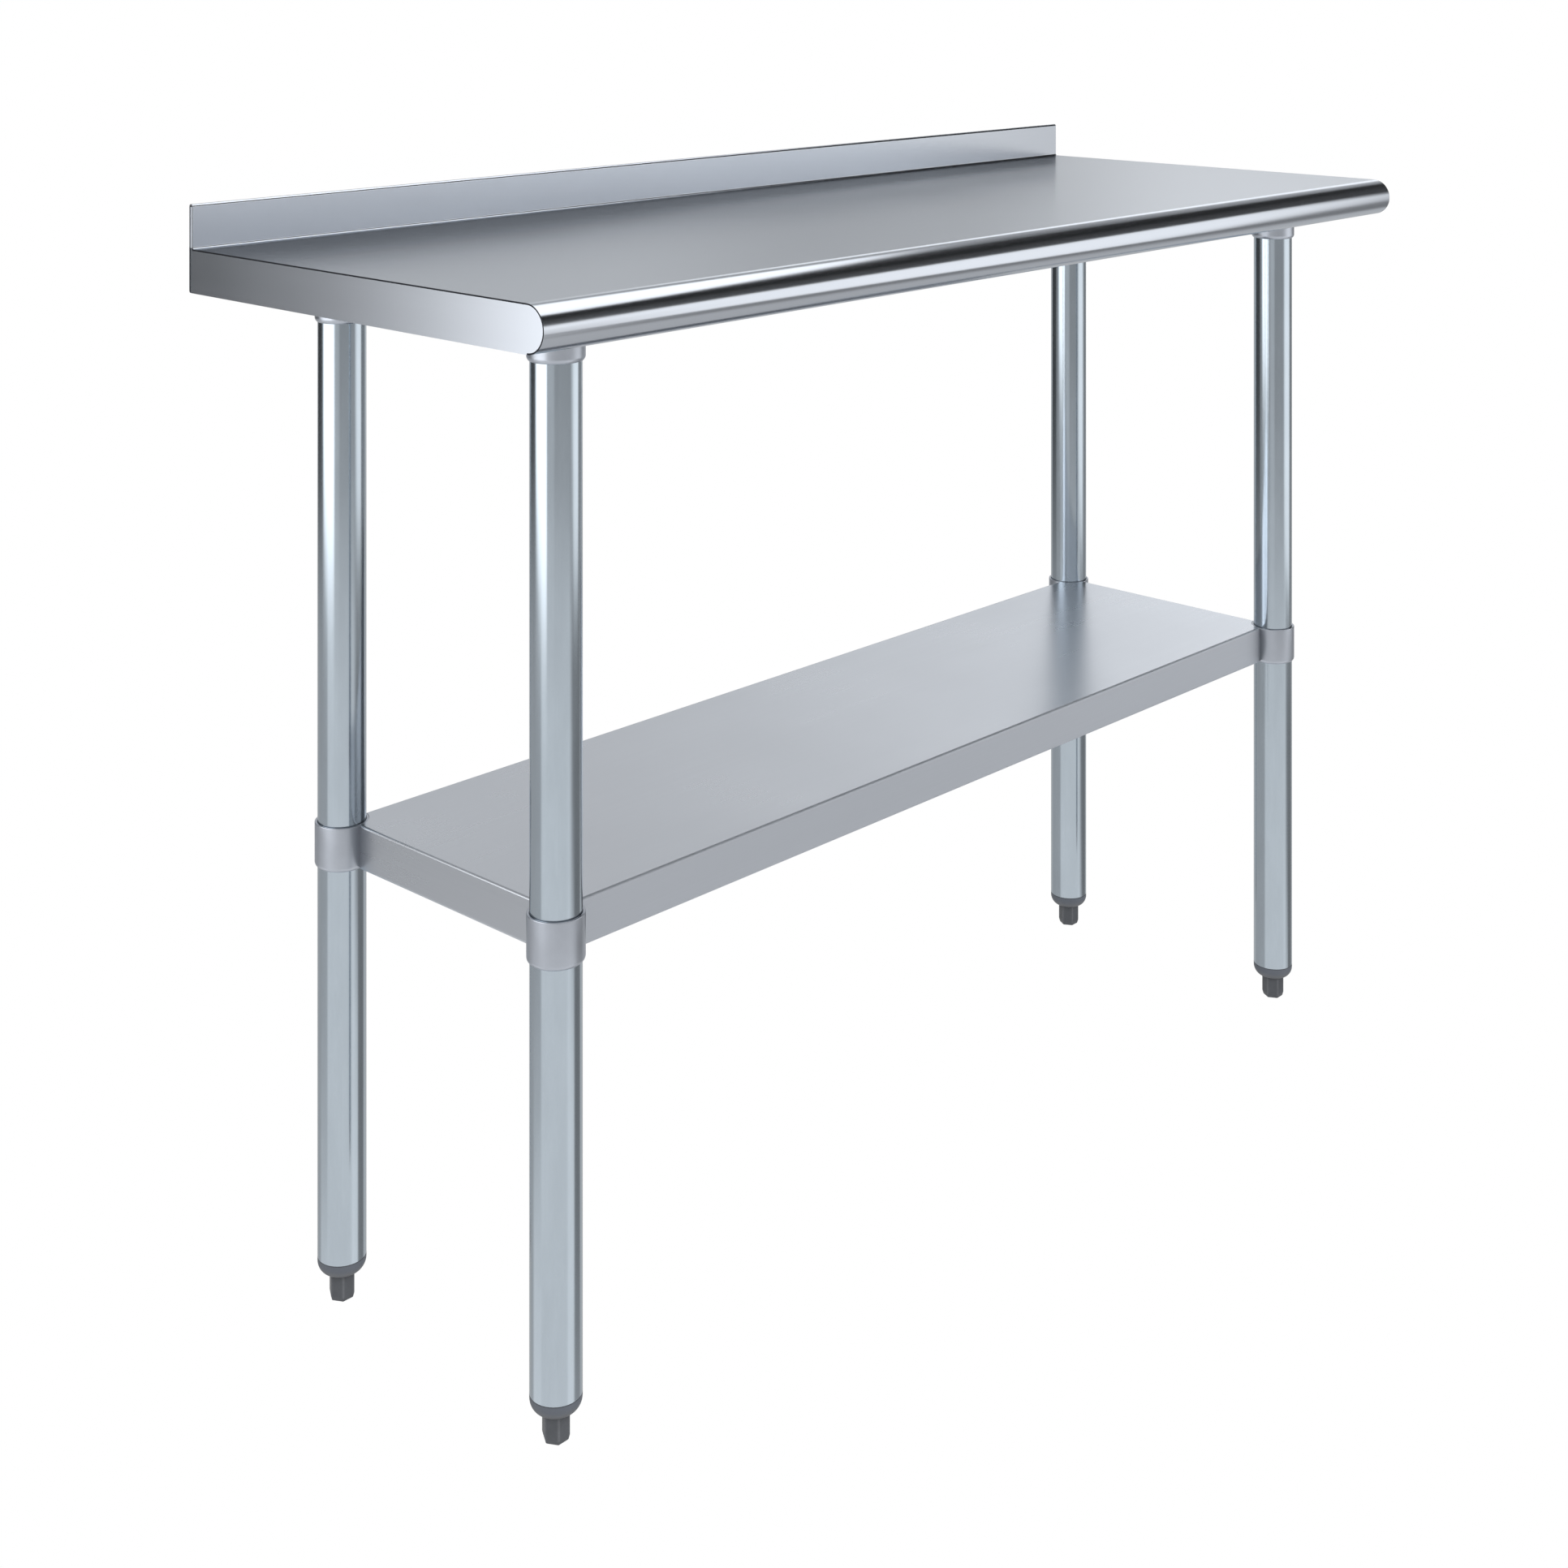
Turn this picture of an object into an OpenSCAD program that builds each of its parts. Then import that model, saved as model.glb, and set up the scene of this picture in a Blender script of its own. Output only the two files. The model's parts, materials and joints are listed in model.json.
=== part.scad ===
// Stainless work table with a rolled front edge, a low backsplash, an undershelf
// that slides on tubular legs, and screw-in levelling feet.
// Frame: origin on the floor under the middle of the table, +X to the right,
// +Y to the back, +Z up. Millimetres.

/* [Overall] */
// Length of the table, left to right
table_l = 1219.2; // [900:0.1:1830]
// Depth of the table, rolled front edge to backsplash back
table_d = 457.2; // [420:0.1:610]
// Height of the work surface above the floor, feet fully screwed in
work_h = 890; // [820:1:950]

/* [Tabletop] */
// Thickness of the stainless sheet
sheet_t = 1.2; // [0.9:0.1:1.5]
// Depth of the turned-down edges, and diameter of the rolled front edge
skirt_h = 37.4; // [34:0.1:44]
// Height of the backsplash above the work surface
splash_h = 38.2; // [25:0.1:100]
// Thickness of the folded backsplash
splash_t = 5; // [4.4:0.1:8]
// Inner radius of the bend between work surface and backsplash
splash_bend = 2; // [1:0.5:4]
// How far the end panels sit behind the cut ends of the sheet
panel_inset = 0.4; // [0.2:0.1:1.5]

/* [Underframe] */
// Thickness of the channel steel
channel_t = 1.5; // [1.2:0.1:2]
// Width of a channel between its flanges
channel_w = 90; // [80:1:110]
// Depth of a channel below the work surface sheet
channel_h = 28; // [24:1:28]
// Width of each channel flange
flange_w = 20; // [16:1:24]
// Diameter of the weld studs
stud_d = 6; // [5:1:8]

/* [Legs] */
// Outside diameter of a leg tube
leg_d = 41; // [38:0.5:44]
// Wall thickness of a leg tube
leg_wall = 1.2; // [1:0.1:2]
// Distance from the table's outer faces to a leg's axis
leg_inset = 91.1; // [85:0.1:100]
// Height of a leg tube's lower end above the floor
leg_bottom = 36; // [30:1:60]
// Outside diameter of the sockets and of the shelf sleeves
sleeve_d = 45.7; // [45:0.1:50]
// Radial clearance between a leg tube and a sleeve
sleeve_gap = 0.08; // [0.05:0.01:0.1]
// Length of a leg socket below its flange
socket_len = 29.1; // [24:0.1:40]

/* [Undershelf] */
// Height of the shelf's top face above the floor
shelf_z = 405; // [250:1:600]
// Depth of the shelf's turned-down edges
shelf_skirt = 37.3; // [30:0.1:45]
// Distance from the shelf's end faces to the leg axes
shelf_in_x = 1.5; // [0:0.1:6]
// Distance from the shelf's front and back faces to the leg axes
shelf_in_y = 2.4; // [0:0.1:6]
// Width of the stiffener under the shelf
stiffener_w = 70; // [50:1:100]

/* [Feet] */
// Width of a hexagonal foot across its corners
hex_corner = 22.8; // [20:0.1:23]
// Height of a hexagonal foot
hex_h = 22; // [18:0.5:26]
// Diameter of a foot's threaded stud
foot_stud_d = 15.88; // [12:0.02:16]
// Length of the foot insert inside its leg tube
insert_len = 30; // [20:1:40]

/* [Hidden] */

$fn = 96;
sliver = 0.01; // smallest offset that keeps two faces apart
over = 1; // how far a cut runs past the face it opens
fold_r = 2.2; // outer radius of the folds in the skirts

half_l = table_l / 2;
y_front = -table_d / 2;
y_back = table_d / 2;
under_z = work_h - sheet_t; // underside of the work surface
skirt_z = work_h - skirt_h;
roll_r = skirt_h / 2;
roll_y = y_front + roll_r;
channel_bottom = under_z - channel_h;
leg_r = leg_d / 2;
bore_r = leg_r + sleeve_gap;
sleeve_r = sleeve_d / 2;
foot_stud_r = foot_stud_d / 2;
thread_bore_r = foot_stud_r + 0.06;

// Leg axes, as [x, y]
leg_x = half_l - leg_inset;
leg_y = table_d / 2 - leg_inset;
FRONT_LEFT = [-leg_x, -leg_y];
FRONT_RIGHT = [leg_x, -leg_y];
BACK_LEFT = [-leg_x, leg_y];
BACK_RIGHT = [leg_x, leg_y];
LEGS = [FRONT_LEFT, FRONT_RIGHT, BACK_LEFT, BACK_RIGHT];

// ---- Helpers ----
// Puts its children at an [x, y] place and a height
module at(place, z = 0) {
    translate([place.x, place.y, z]) children();
}
// Extrudes a profile drawn as (y, z) along X, from -half to +half
module along_x(half) {
    translate([-half, 0, 0]) rotate([90, 0, 90]) linear_extrude(height = 2 * half) children();
}
// Extrudes a profile drawn as (x, z) along Y, from y0 to y1
module along_y(y0, y1) {
    translate([0, y1, 0]) rotate([90, 0, 0]) linear_extrude(height = y1 - y0) children();
}
// Rectangle between two opposite corners, given in any order
module rect(x0, z0, x1, z1) {
    translate([min(x0, x1), min(z0, z1)]) square([abs(x1 - x0), abs(z1 - z0)]);
}
// Box between two opposite corners; their x values may come in either order
module box(from, to) {
    translate([min(from.x, to.x), from.y, from.z])
        cube([abs(to.x - from.x), to.y - from.y, to.z - from.z]);
}
// A quarter of a bent sheet; side_x and side_z are the signs of its quadrant
module quarter_bend(x, z, outer_r, thickness, side_x, side_z) {
    translate([x, z]) intersection() {
        difference() {
            circle(r = outer_r);
            circle(r = outer_r - thickness);
        }
        rect(0, 0, side_x * outer_r, side_z * outer_r);
    }
}
// Channel section: floor, two walls, and flanges turned outwards at the top
module hat_profile(width, depth, thickness, flange, top) {
    rect(-width / 2, top - depth, width / 2, top - depth + thickness);
    for (side = [-1, 1]) {
        inner = side * (width / 2 - thickness);
        rect(inner, top - depth, side * width / 2, top);
        rect(inner, top - thickness, side * (width / 2 + flange), top);
    }
}
// Cylinder standing on a chamfered tip
module tipped_pin(radius, length, chamfer) {
    cylinder(r1 = radius - chamfer, r2 = radius, h = chamfer);
    translate([0, 0, chamfer]) cylinder(r = radius, h = length - chamfer);
}

// ---- Tabletop: one folded sheet ----
roll_z = work_h - roll_r;
return_w = 12; // return under the roll
return_lip_h = 9;
back_flange_w = 15;
end_relief = 3; // length cut from each end of the return and the back flange
splash_top = work_h + splash_h;
splash_front = y_back - splash_t;
hem_r = splash_t / 2; // rounded top of the backsplash
hem_z = splash_top - hem_r;

module tabletop_profile() {
    return_back = roll_y + return_w;
    splash_bend_y = splash_front - splash_bend;
    splash_bend_z = work_h + splash_bend;
    // work surface, from the roll to the backsplash bend
    rect(roll_y, under_z, splash_bend_y, work_h);
    // rolled front edge
    for (side_z = [-1, 1]) quarter_bend(roll_y, roll_z, roll_r, sheet_t, -1, side_z);
    // return of the roll under the table, and its upturned lip
    rect(roll_y, skirt_z, return_back, skirt_z + sheet_t);
    rect(return_back - sheet_t, skirt_z, return_back, skirt_z + return_lip_h);
    // bend up into the backsplash, and its front face
    quarter_bend(splash_bend_y, splash_bend_z, splash_bend + sheet_t, sheet_t, 1, -1);
    rect(splash_front, splash_bend_z, splash_front + sheet_t, hem_z);
    // rounded top of the backsplash
    for (side_y = [-1, 1]) quarter_bend(y_back - hem_r, hem_z, hem_r, sheet_t, side_y, 1);
    // back face, down past the work surface, folded into the flange under it
    rect(y_back - sheet_t, skirt_z + fold_r, y_back, hem_z);
    quarter_bend(y_back - fold_r, skirt_z + fold_r, fold_r, sheet_t, 1, -1);
    rect(y_back - back_flange_w, skirt_z, y_back - fold_r, skirt_z + sheet_t);
}
module tabletop() {
    color([0.72, 0.74, 0.77]) difference() {
        along_x(half_l) tabletop_profile();
        // the return and the back flange stop short of the table's ends
        for (side = [-1, 1]) {
            cut_start = side * (half_l - end_relief);
            cut_end = side * (half_l + over);
            box([cut_start, roll_y, skirt_z - over],
                [cut_end, roll_y + return_w + over, skirt_z + return_lip_h + over]);
            box([cut_start, y_back - back_flange_w - over, skirt_z - over],
                [cut_end, y_back - sheet_t - sliver, skirt_z + sheet_t + 2 * over]);
        }
    }
}

// ---- End panels ----
panel_gap = 0.15; // between a panel's edges and the folded sheet
// Inner flanges: width, and setbacks from the roll's axis and from the back face
top_flange_w = 14;
top_flange_front = 5;
top_flange_back = 14;
low_flange_w = 12;
low_flange_front = 15;
low_flange_back = 16.5;

// Plate with a half-round front, and a tab that closes the backsplash
module end_panel_profile() {
    panel_back = y_back - sheet_t - panel_gap;
    intersection() {
        translate([roll_y, roll_z]) circle(r = roll_r - sheet_t - panel_gap);
        rect(roll_y - roll_r, roll_z - roll_r, roll_y, roll_z + roll_r);
    }
    rect(roll_y, skirt_z, panel_back, under_z - panel_gap);
    rect(splash_front + sheet_t + panel_gap, skirt_z, panel_back, hem_z);
}
// Drawn at the left end; side = 1 mirrors it to the right
module end_panel(side) {
    outer_x = -half_l + panel_inset;
    inner_x = outer_x + sheet_t;
    color([0.80, 0.81, 0.84]) mirror([side > 0 ? 1 : 0, 0, 0]) {
        translate([outer_x, 0, 0]) rotate([90, 0, 90])
            linear_extrude(height = sheet_t) end_panel_profile();
        box([inner_x, roll_y + top_flange_front, under_z - sheet_t],
            [inner_x + top_flange_w, y_back - top_flange_back, under_z]);
        box([inner_x, roll_y + low_flange_front, skirt_z],
            [inner_x + low_flange_w, y_back - low_flange_back, skirt_z + sheet_t]);
    }
}

// ---- Underframe ----
cross_front = roll_y + 20;
cross_back = y_back - 24;
flange_z = under_z - channel_t; // underside of the flanges
center_reach = leg_x - channel_w / 2 - 0.1; // just short of the cross channels' walls
center_end = leg_x - channel_w / 2 - flange_w; // inner edge of the cross channels' flanges
center_flange_gap = 0.2;
stud_r = stud_d / 2;
stud_len = 14;
stud_chamfer = 0.7;
stud_hole_gap = 0.3;
stud_past_leg = 12; // outer studs of a cross channel, beyond the leg axes
nut_h = 5;
nut_r = stud_d * 0.96; // to the corners
nut_gap = 0.03;

// Stud places, as [x, y], midway across the channels' flanges
flange_mid = channel_w / 2 + flange_w / 2;
CROSS_STUDS = [for (side = [-1, 1], edge = [-1, 1], k = [-1, 0, 1])
    [side * leg_x + edge * flange_mid, k * (leg_y + stud_past_leg)]];
CENTER_STUDS = [for (edge = [-1, 1], k = [-0.75, -0.25, 0.25, 0.75])
    [k * center_end, edge * flange_mid]];
STUDS = concat(CROSS_STUDS, CENTER_STUDS);

module channel_profile() {
    hat_profile(channel_w, channel_h, channel_t, flange_w, under_z);
}
module stud_holes(places) {
    for (place = places) at(place, flange_z - over)
        cylinder(r = stud_r + stud_hole_gap, h = channel_t + 2 * over);
}
module cross_channel(side) {
    color([0.66, 0.69, 0.72]) difference() {
        translate([side * leg_x, 0, 0]) along_y(cross_front, cross_back) channel_profile();
        stud_holes(CROSS_STUDS);
    }
}
module center_channel() {
    color([0.66, 0.69, 0.72]) difference() {
        along_x(center_reach) channel_profile();
        // the flanges stop where the cross channels' flanges begin
        for (side = [-1, 1])
            box([side * (center_end - center_flange_gap), -table_d, flange_z - sliver],
                [side * (center_reach + over), table_d, under_z + over]);
        stud_holes(CENTER_STUDS);
    }
}
module channel_weld_studs() {
    color([0.75, 0.76, 0.78]) for (place = STUDS) at(place, under_z - stud_len)
        tipped_pin(stud_r, stud_len, stud_chamfer);
}
module channel_nuts() {
    color([0.75, 0.76, 0.78]) for (place = STUDS) at(place, flange_z - nut_h) difference() {
        cylinder(r = nut_r, h = nut_h, $fn = 6);
        translate([0, 0, -over]) cylinder(r = stud_r + nut_gap, h = nut_h + 2 * over);
    }
}

// ---- Sleeves, bosses and set screws, shared by the leg sockets and the shelf ----
rim_r = 4.5; // rounding of a sleeve's lower rim
rim_h = 3.71; // height of the rounded part
sleeve_cut = 5; // how far a sleeve's bore cut starts below it
boss_r = 7;
boss_len = 6.5;
boss_sink = 2; // depth of the boss's root inside the bore, bored away again
screw_r = 4;
screw_len = 10;
screw_chamfer = 0.8;
screw_leg_gap = 0.05;
screw_hole_gap = 0.03;
screw_hole_len = 12;
recess_r = 2.31; // hexagonal recess, to the corners
recess_start = 5.5; // from the tip
recess_cut = 6;

// Sleeve wall, drawn as (r, z): square top, rounded lower rim
module sleeve_section(bottom, top) {
    rim_z = bottom + rim_h;
    rect(bore_r, rim_z, sleeve_r, top);
    intersection() {
        translate([sleeve_r - rim_r, rim_z]) circle(r = rim_r);
        rect(bore_r, bottom, sleeve_r, rim_z);
    }
}
// Lays its children's Z axis level, pointing diagonally inwards from a leg's
// axis, and starts them at a distance from that axis
module inward(place, z, start) {
    at(place, z) rotate([0, 0, atan2(-sign(place.y), -sign(place.x))]) rotate([0, 90, 0])
        translate([0, 0, start]) children();
}
module boss(place, z) {
    inward(place, z, bore_r - boss_sink) cylinder(r = boss_r, h = boss_len);
}
module boss_hole(place, z) {
    inward(place, z, bore_r - boss_sink - over)
        cylinder(r = screw_r + screw_hole_gap, h = screw_hole_len);
}
// One set screw per leg: chamfered tip towards the leg, recess at the outer end
module set_screws(z) {
    color([0.55, 0.56, 0.58]) for (place = LEGS)
        inward(place, z, leg_r + screw_leg_gap) difference() {
            union() tipped_pin(screw_r, screw_len, screw_chamfer);
            translate([0, 0, recess_start]) cylinder(r = recess_r, h = recess_cut, $fn = 6);
        }
}

// ---- Leg sockets ----
socket_flange_t = 3;
socket_flange_w = 13; // beyond the sleeve
socket_top = channel_bottom - socket_flange_t; // underside of the flange
socket_bottom = socket_top - socket_len;
socket_screw_z = socket_top - 11;
socket_bore_len = 60; // passes through the longest socket and its flange

module leg_socket(place) {
    color([0.70, 0.72, 0.76]) difference() {
        union() {
            at(place) rotate_extrude() sleeve_section(socket_bottom, socket_top);
            at(place, socket_top) cylinder(r = sleeve_r + socket_flange_w, h = socket_flange_t);
            boss(place, socket_screw_z);
        }
        at(place, socket_bottom - sleeve_cut) cylinder(r = bore_r, h = socket_bore_len);
        boss_hole(place, socket_screw_z);
    }
}
module socket_set_screws() {
    set_screws(socket_screw_z);
}

// ---- Legs and foot inserts ----
insert_bottom = hex_h + 0.2; // just clear of the hexagonal foot
dome_r = 11; // rounding of the collar
dome_h = 10.8;
plug_gap = 0.05;

module leg(place) {
    color([0.65, 0.69, 0.73]) at(place, leg_bottom) difference() {
        cylinder(r = leg_r, h = channel_bottom - leg_bottom);
        translate([0, 0, -over]) cylinder(r = leg_r - leg_wall, h = work_h);
    }
}
// Domed collar below the leg tube, plug body inside it, and a bore for the foot's stud
module foot_insert(place) {
    dome_x = leg_r - dome_r;
    dome_z = insert_bottom + dome_h;
    plug_r = leg_r - leg_wall - plug_gap;
    color([0.44, 0.45, 0.47]) at(place) rotate_extrude() {
        intersection() {
            translate([dome_x, dome_z]) circle(r = dome_r);
            rect(dome_x, insert_bottom, leg_r, dome_z);
        }
        rect(thread_bore_r, insert_bottom, dome_x, dome_z);
        rect(thread_bore_r, dome_z, leg_r, leg_bottom);
        rect(thread_bore_r, leg_bottom, plug_r, leg_bottom + insert_len);
    }
}

// ---- Undershelf ----
shelf_x = leg_x - shelf_in_x;
shelf_y = leg_y - shelf_in_y;
shelf_bottom = shelf_z - shelf_skirt;
shelf_screw_z = shelf_bottom + shelf_skirt / 2;
shelf_flange_w = 14; // inturned flange at the foot of each skirt
corner_gap = 0.01; // between the shelf's corner cuts and the sleeves
stiffener_h = 22;
stiffener_flange_w = 14;
stiffener_inset = 8; // from the shelf's end faces

// Section across the shelf: top sheet, skirts and their inturned flanges
module shelf_section(half) {
    low_fold_z = shelf_bottom + fold_r;
    high_fold_z = shelf_z - fold_r;
    rect(-half + fold_r, shelf_z - sheet_t, half - fold_r, shelf_z);
    for (side = [-1, 1]) {
        fold_x = side * (half - fold_r);
        quarter_bend(fold_x, high_fold_z, fold_r, sheet_t, side, 1);
        rect(side * (half - sheet_t), low_fold_z, side * half, high_fold_z);
        quarter_bend(fold_x, low_fold_z, fold_r, sheet_t, side, -1);
        rect(side * (half - shelf_flange_w), shelf_bottom, fold_x, shelf_bottom + sheet_t);
    }
}
module undershelf() {
    color([0.74, 0.76, 0.79]) difference() {
        union() {
            along_x(shelf_x - fold_r) shelf_section(shelf_y);
            along_y(-shelf_y + fold_r, shelf_y - fold_r) shelf_section(shelf_x);
        }
        // each corner is cut out round its sleeve
        for (place = LEGS) at(place, shelf_bottom - over)
            cylinder(r = sleeve_r + corner_gap, h = shelf_skirt + 2 * over);
    }
}
module shelf_stiffener() {
    color([0.70, 0.72, 0.75]) along_x(shelf_x - stiffener_inset)
        hat_profile(stiffener_w, stiffener_h, sheet_t, stiffener_flange_w, shelf_z - sheet_t);
}
module shelf_sleeve(place) {
    color([0.70, 0.71, 0.75]) difference() {
        union() {
            at(place) rotate_extrude() sleeve_section(shelf_bottom, shelf_z);
            boss(place, shelf_screw_z);
        }
        at(place, shelf_bottom - sleeve_cut)
            cylinder(r = bore_r, h = shelf_skirt + 2 * sleeve_cut);
        boss_hole(place, shelf_screw_z);
    }
}
module shelf_set_screws() {
    set_screws(shelf_screw_z);
}

// ---- Feet ----
foot_stud_bottom = 8.2;
foot_stud_len = 52.6; // below the chamfer
foot_stud_chamfer = 1.2;
foot_hole_z = 8; // floor of the hole in a hexagonal foot
hex_r = hex_corner / 2;
hex_taper_h = 5; // tapered lower part
hex_taper_in = 2.1; // how far the taper cuts in at the floor
hex_clear = 0.1; // keeps the round clear of the corners above the taper

module foot_stud(place) {
    color([0.72, 0.73, 0.75]) at(place, foot_stud_bottom) {
        cylinder(r = foot_stud_r, h = foot_stud_len);
        translate([0, 0, foot_stud_len])
            cylinder(r1 = foot_stud_r, r2 = foot_stud_r - foot_stud_chamfer, h = foot_stud_chamfer);
    }
}
module hex_foot(place) {
    color([0.35, 0.36, 0.38]) at(place) difference() {
        intersection() {
            cylinder(r = hex_r, h = hex_h, $fn = 6);
            union() {
                cylinder(r1 = hex_r - hex_taper_in, r2 = hex_r + hex_clear, h = hex_taper_h);
                translate([0, 0, hex_taper_h]) cylinder(r = hex_r + hex_clear, h = hex_h);
            }
        }
        translate([0, 0, foot_hole_z]) cylinder(r = thread_bore_r, h = hex_h);
    }
}

tabletop();
end_panel(-1);  // left_end_panel
end_panel(1);  // right_end_panel
cross_channel(-1);  // left_cross_channel
cross_channel(1);  // right_cross_channel
center_channel();
channel_weld_studs();
channel_nuts();
leg_socket(FRONT_LEFT);  // front_left_leg_socket
leg_socket(FRONT_RIGHT);  // front_right_leg_socket
leg_socket(BACK_LEFT);  // back_left_leg_socket
leg_socket(BACK_RIGHT);  // back_right_leg_socket
socket_set_screws();
leg(FRONT_LEFT);  // front_left_leg
leg(FRONT_RIGHT);  // front_right_leg
leg(BACK_LEFT);  // back_left_leg
leg(BACK_RIGHT);  // back_right_leg
foot_insert(FRONT_LEFT);  // front_left_foot_insert
foot_insert(FRONT_RIGHT);  // front_right_foot_insert
foot_insert(BACK_LEFT);  // back_left_foot_insert
foot_insert(BACK_RIGHT);  // back_right_foot_insert
undershelf();
shelf_stiffener();
shelf_sleeve(FRONT_LEFT);  // front_left_shelf_sleeve
shelf_sleeve(FRONT_RIGHT);  // front_right_shelf_sleeve
shelf_sleeve(BACK_LEFT);  // back_left_shelf_sleeve
shelf_sleeve(BACK_RIGHT);  // back_right_shelf_sleeve
shelf_set_screws();
foot_stud(FRONT_LEFT);  // front_left_foot_stud
foot_stud(FRONT_RIGHT);  // front_right_foot_stud
foot_stud(BACK_LEFT);  // back_left_foot_stud
foot_stud(BACK_RIGHT);  // back_right_foot_stud
hex_foot(FRONT_LEFT);  // front_left_hex_foot
hex_foot(FRONT_RIGHT);  // front_right_hex_foot
hex_foot(BACK_LEFT);  // back_left_hex_foot
hex_foot(BACK_RIGHT);  // back_right_hex_foot
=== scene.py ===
import json
import math

import bpy
import bmesh
from mathutils import Matrix, Vector, noise

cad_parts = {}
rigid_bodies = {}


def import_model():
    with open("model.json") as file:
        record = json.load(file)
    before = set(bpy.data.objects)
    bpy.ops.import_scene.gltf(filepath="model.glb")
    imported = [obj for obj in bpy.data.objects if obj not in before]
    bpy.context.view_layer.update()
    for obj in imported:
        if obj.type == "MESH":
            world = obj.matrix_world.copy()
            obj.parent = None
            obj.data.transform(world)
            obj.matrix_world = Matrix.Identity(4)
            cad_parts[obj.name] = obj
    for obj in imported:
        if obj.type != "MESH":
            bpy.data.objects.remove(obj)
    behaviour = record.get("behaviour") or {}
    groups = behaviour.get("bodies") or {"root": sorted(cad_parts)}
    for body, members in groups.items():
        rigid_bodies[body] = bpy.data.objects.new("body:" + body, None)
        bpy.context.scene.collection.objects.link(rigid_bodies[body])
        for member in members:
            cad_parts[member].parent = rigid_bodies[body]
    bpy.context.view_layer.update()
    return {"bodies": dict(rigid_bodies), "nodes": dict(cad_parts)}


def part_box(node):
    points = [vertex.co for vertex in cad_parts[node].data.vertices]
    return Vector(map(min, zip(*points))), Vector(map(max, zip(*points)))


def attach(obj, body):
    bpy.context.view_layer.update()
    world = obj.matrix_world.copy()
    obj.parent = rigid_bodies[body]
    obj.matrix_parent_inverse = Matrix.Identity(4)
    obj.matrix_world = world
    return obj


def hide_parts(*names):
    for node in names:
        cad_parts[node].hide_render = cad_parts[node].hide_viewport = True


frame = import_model()
nodes = frame["nodes"]
scene = bpy.context.scene

# ---------------------------------------------------------------- node helpers


class Graph:
    """Short calls for building shader nodes."""

    def __init__(self, tree):
        self.t = tree
        self.t.nodes.clear()

    def node(self, kind, **settings):
        n = self.t.nodes.new(kind)
        for k, v in settings.items():
            setattr(n, k, v)
        return n

    def link(self, value, socket):
        if isinstance(value, bpy.types.NodeSocket):
            self.t.links.new(value, socket)
        elif value is not None:
            if isinstance(value, (tuple, list)) and len(value) == 3 and socket.type == "RGBA":
                value = (*value, 1.0)
            socket.default_value = value

    def math(self, op, a, b=None, c=None, clamp=False):
        n = self.node("ShaderNodeMath", operation=op, use_clamp=clamp)
        for i, v in enumerate((a, b, c)):
            if v is not None:
                self.link(v, n.inputs[i])
        return n.outputs[0]

    def vec(self, op, a, b=None, scale=None):
        n = self.node("ShaderNodeVectorMath", operation=op)
        self.link(a, n.inputs[0])
        if b is not None:
            self.link(b, n.inputs[1])
        if scale is not None:
            self.link(scale, n.inputs["Scale"])
        return n.outputs["Value"] if op in ("DOT_PRODUCT", "LENGTH", "DISTANCE") else n.outputs["Vector"]

    def remap(self, v, a, b, c=0.0, d=1.0, smooth=True):
        n = self.node("ShaderNodeMapRange", interpolation_type="SMOOTHSTEP" if smooth else "LINEAR")
        self.link(v, n.inputs["Value"])
        for name, x in (("From Min", a), ("From Max", b), ("To Min", c), ("To Max", d)):
            self.link(x, n.inputs[name])
        return n.outputs["Result"]

    def mix(self, fac, a, b, blend="MIX"):
        n = self.node("ShaderNodeMix", data_type="RGBA", blend_type=blend, clamp_factor=True)
        self.link(fac, n.inputs["Factor"])
        self.link(a, n.inputs["A"] if "A" in n.inputs else n.inputs[6])
        self.link(b, n.inputs["B"] if "B" in n.inputs else n.inputs[7])
        return n.outputs[2]

    def noise(self, vector, scale, detail=4.0, rough=0.5, distortion=0.0, kind="FBM"):
        n = self.node("ShaderNodeTexNoise")
        if vector is not None:
            self.link(vector, n.inputs["Vector"])
        n.inputs["Scale"].default_value = scale
        n.inputs["Detail"].default_value = detail
        n.inputs["Roughness"].default_value = rough
        n.inputs["Distortion"].default_value = distortion
        return n.outputs["Fac"]

    def stretch(self, vector, sx, sy, sz):
        return self.vec("MULTIPLY", vector, (sx, sy, sz))

    def bump(self, height, strength, distance, normal=None):
        n = self.node("ShaderNodeBump")
        n.inputs["Strength"].default_value = strength
        n.inputs["Distance"].default_value = distance
        self.link(height, n.inputs["Height"])
        if normal is not None:
            self.link(normal, n.inputs["Normal"])
        return n.outputs["Normal"]


def smooth_mix(g, colour, target, weight):
    return g.mix(weight, colour, target)


# ---------------------------------------------------------------- studio

world = bpy.data.worlds.new("studio")
scene.world = world
world.use_nodes = True
g = Graph(world.node_tree)
direction = g.vec("NORMALIZE", g.node("ShaderNodeTexCoord").outputs["Generated"])
xyz = g.node("ShaderNodeSeparateXYZ")
g.link(direction, xyz.inputs[0])
DEG = 180.0 / math.pi
elev = g.math("MULTIPLY", g.math("ARCSINE", xyz.outputs["Z"]), DEG)
azim = g.math("MULTIPLY", g.math("ARCTAN2", xyz.outputs["X"], xyz.outputs["Y"]), DEG)


def off_azimuth(centre):
    return g.math("ABSOLUTE", g.math("WRAP", g.math("SUBTRACT", azim, centre), 180.0, -180.0))


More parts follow.
